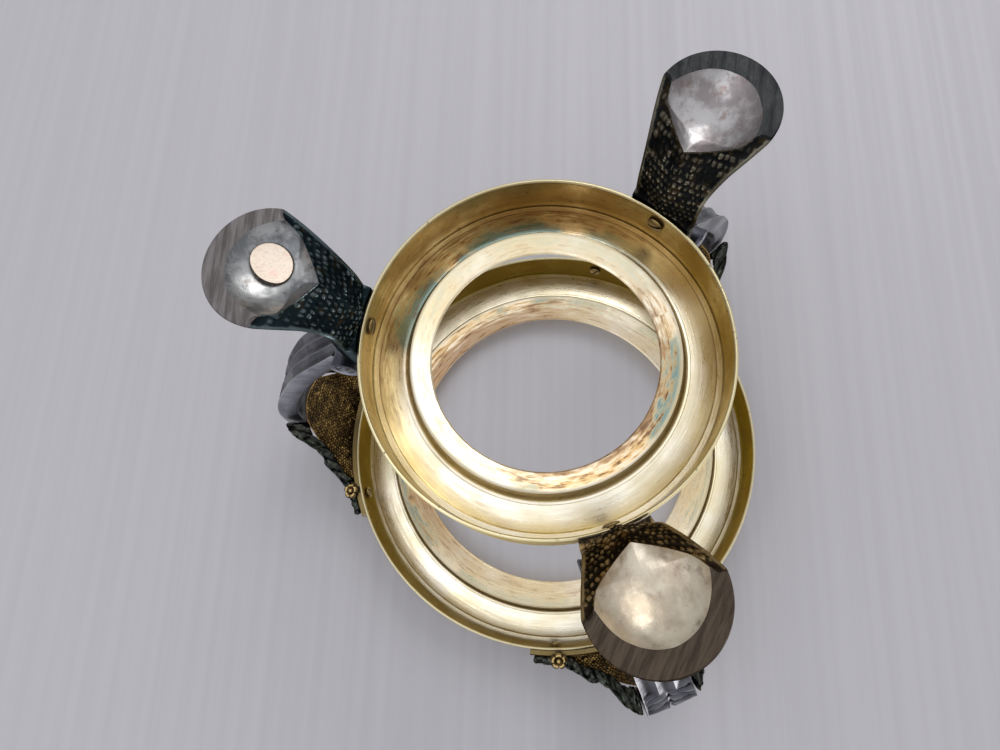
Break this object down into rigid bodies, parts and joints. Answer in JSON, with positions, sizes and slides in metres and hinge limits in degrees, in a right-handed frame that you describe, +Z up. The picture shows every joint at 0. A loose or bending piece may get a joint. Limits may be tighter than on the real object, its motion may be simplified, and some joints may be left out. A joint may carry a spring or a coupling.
{
  "type": "ring stand",
  "caption": "Tripod stand of gilt and plated metal: two stepped rings, one above the other, held by cast legs with scrolls, consoles and horseshoe soles.",
  "frame": {"origin": "middle of the stand's footprint, on the surface that the three soles stand on", "axes": "+Z up along the rings' common axis, leg 3 towards -Y, legs 1 and 2 towards +X and -X behind it"},
  "size_m": [0.2567, 0.2492, 0.2216],
  "materials": {
    "gilt": "worn, toned gilding",
    "dark_silver": "tarnished silver plate with bright soles",
    "grey_silver": "dull polished silver plate",
    "brown_gilt": "dark toned gilding on a scaled ground",
    "old_brass": "dull old brass",
    "paper": "plain cream paper"
  },
  "bodies": {
    "root": {"lower_ring_rim": "gilt", "lower_ring_plate": "gilt", "upper_ring_rim": "gilt", "upper_ring_plate": "gilt", "leg_1_foot": "dark_silver", "leg_1_scroll": "grey_silver", "leg_1_console": "brown_gilt", "leg_1_ankle_screw": "old_brass", "leg_1_border_left": "dark_silver", "leg_1_rosette_left": "old_brass", "leg_1_rim_screw_left": "old_brass", "leg_1_border_right": "dark_silver", "leg_1_rosette_right": "old_brass", "leg_1_rim_screw_right": "old_brass", "leg_2_foot": "dark_silver", "leg_2_scroll": "grey_silver", "leg_2_console": "brown_gilt", "leg_2_ankle_screw": "old_brass", "leg_2_border_left": "dark_silver", "leg_2_rosette_left": "old_brass", "leg_2_rim_screw_left": "old_brass", "leg_2_border_right": "dark_silver", "leg_2_rosette_right": "old_brass", "leg_2_rim_screw_right": "old_brass", "leg_3_foot": "dark_silver", "leg_3_scroll": "grey_silver", "leg_3_console": "brown_gilt", "leg_3_ankle_screw": "old_brass", "leg_3_border_left": "dark_silver", "leg_3_rosette_left": "old_brass", "leg_3_rim_screw_left": "old_brass", "leg_3_border_right": "dark_silver", "leg_3_rosette_right": "old_brass", "leg_3_rim_screw_right": "old_brass", "lot_label": "paper"}
  },
  "joints": []
}
